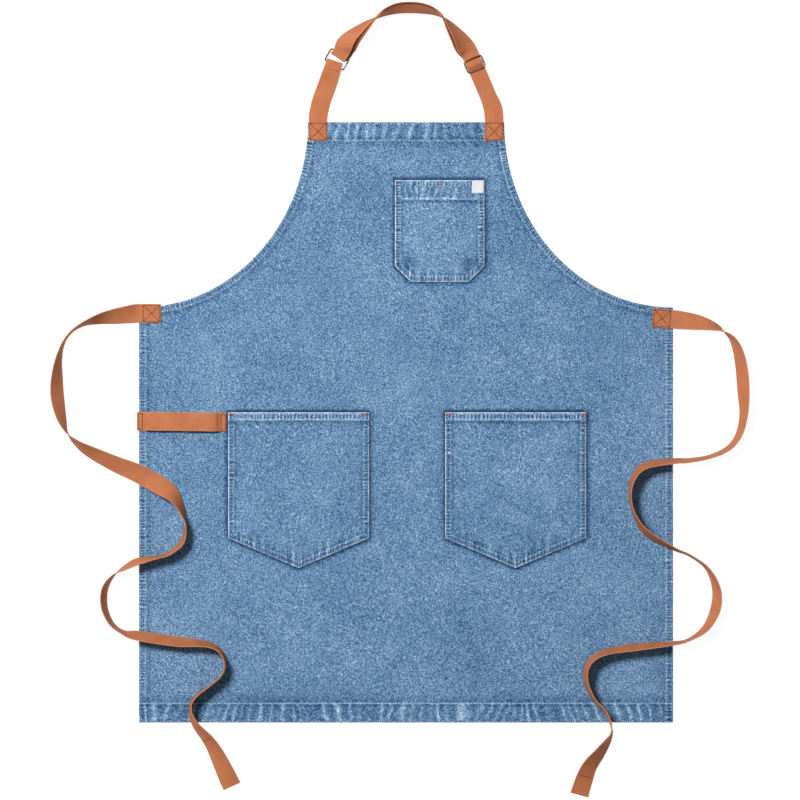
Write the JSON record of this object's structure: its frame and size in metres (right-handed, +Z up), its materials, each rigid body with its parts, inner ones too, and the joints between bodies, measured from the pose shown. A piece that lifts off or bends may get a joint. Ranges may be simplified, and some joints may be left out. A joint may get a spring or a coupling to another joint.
{
  "type": "bib apron",
  "caption": "Denim bib apron lying flat, with patch pockets, a towel loop, webbing neck straps joined by a ring and a slide adjuster, and long waist ties.",
  "frame": {"origin": "middle of the apron's footprint, at table height under the hems", "axes": "+Z up from the table, +Y from the bottom hem to the neck loop, +X to the right seen from the front of the apron"},
  "size_m": [0.9304, 1.0617, 0.0283],
  "materials": {
    "denim": "washed mid-blue cotton denim",
    "webbing": "tan cotton webbing",
    "rust_thread": "dark rust sewing thread",
    "pale_thread": "pale blue-grey sewing thread",
    "label": "plain white woven label",
    "ring_metal": "pale antique brass wire",
    "slide_metal": "dark antique brass wire"
  },
  "bodies": {
    "apron": {"apron_panel": "denim", "chest_pocket": "denim", "left_hand_pocket": "denim", "right_hand_pocket": "denim", "bib_hem_stitching": "pale_thread", "bottom_hem_stitching": "pale_thread", "left_side_seam_stitching": "pale_thread", "right_side_seam_stitching": "pale_thread", "left_armhole_stitching": "pale_thread", "right_armhole_stitching": "pale_thread", "chest_pocket_edge_stitching": "pale_thread", "chest_pocket_mouth_stitching": "pale_thread", "left_hand_pocket_edge_stitching": "pale_thread", "left_hand_pocket_mouth_stitching": "pale_thread", "right_hand_pocket_edge_stitching": "pale_thread", "right_hand_pocket_mouth_stitching": "pale_thread", "pen_slot_stitching": "pale_thread", "back_label_stitching": "pale_thread", "chest_pocket_left_bar_tack": "rust_thread", "chest_pocket_pen_slot_bar_tack": "rust_thread", "left_hand_pocket_outer_bar_tack": "rust_thread", "left_hand_pocket_inner_bar_tack": "rust_thread", "right_hand_pocket_outer_bar_tack": "rust_thread", "right_hand_pocket_inner_bar_tack": "rust_thread", "chest_pocket_label": "label", "back_label": "label", "towel_loop": "webbing", "towel_loop_outer_stitching": "rust_thread", "towel_loop_inner_stitching": "rust_thread", "left_neck_strap_sewn_end": "webbing", "right_neck_strap_sewn_end": "webbing", "left_neck_box_stitching": "rust_thread", "right_neck_box_stitching": "rust_thread", "left_waist_tie_sewn_end": "webbing", "right_waist_tie_sewn_end": "webbing", "left_waist_box_stitching": "rust_thread", "right_waist_box_stitching": "rust_thread", "left_waist_tie": "webbing", "right_waist_tie": "webbing", "left_tie_hem_stitching": "rust_thread", "right_tie_hem_stitching": "rust_thread"},
    "neck_loop": {"short_neck_strap": "webbing", "short_strap_stitching": "rust_thread", "long_neck_strap": "webbing"},
    "ring": {"strap_ring": "ring_metal"},
    "adjuster": {"slide_adjuster": "slide_metal", "strap_over_slide_bar": "webbing"}
  },
  "joints": [
    {"name": "neck_loop_fold", "type": "hinge", "parent": "apron", "child": "neck_loop", "pos_m": [0, 0.32, 0.0032], "axis": [1, 0, 0], "range_deg": [0, 150], "deforming": ["short_neck_strap", "long_neck_strap"]},
    {"name": "ring_swing", "type": "hinge", "parent": "neck_loop", "child": "ring", "pos_m": [-0.09632, 0.39515, 0.0029], "axis": [0.866, -0.5, 0], "range_deg": [0, 35], "deforming": ["long_neck_strap", "short_neck_strap"]},
    {"name": "adjuster_travel", "type": "slide", "parent": "neck_loop", "child": "adjuster", "axis": [-0.3907, 0.9205, 0], "range_m": [-0.036, 0.006], "deforming": ["long_neck_strap"]}
  ]
}
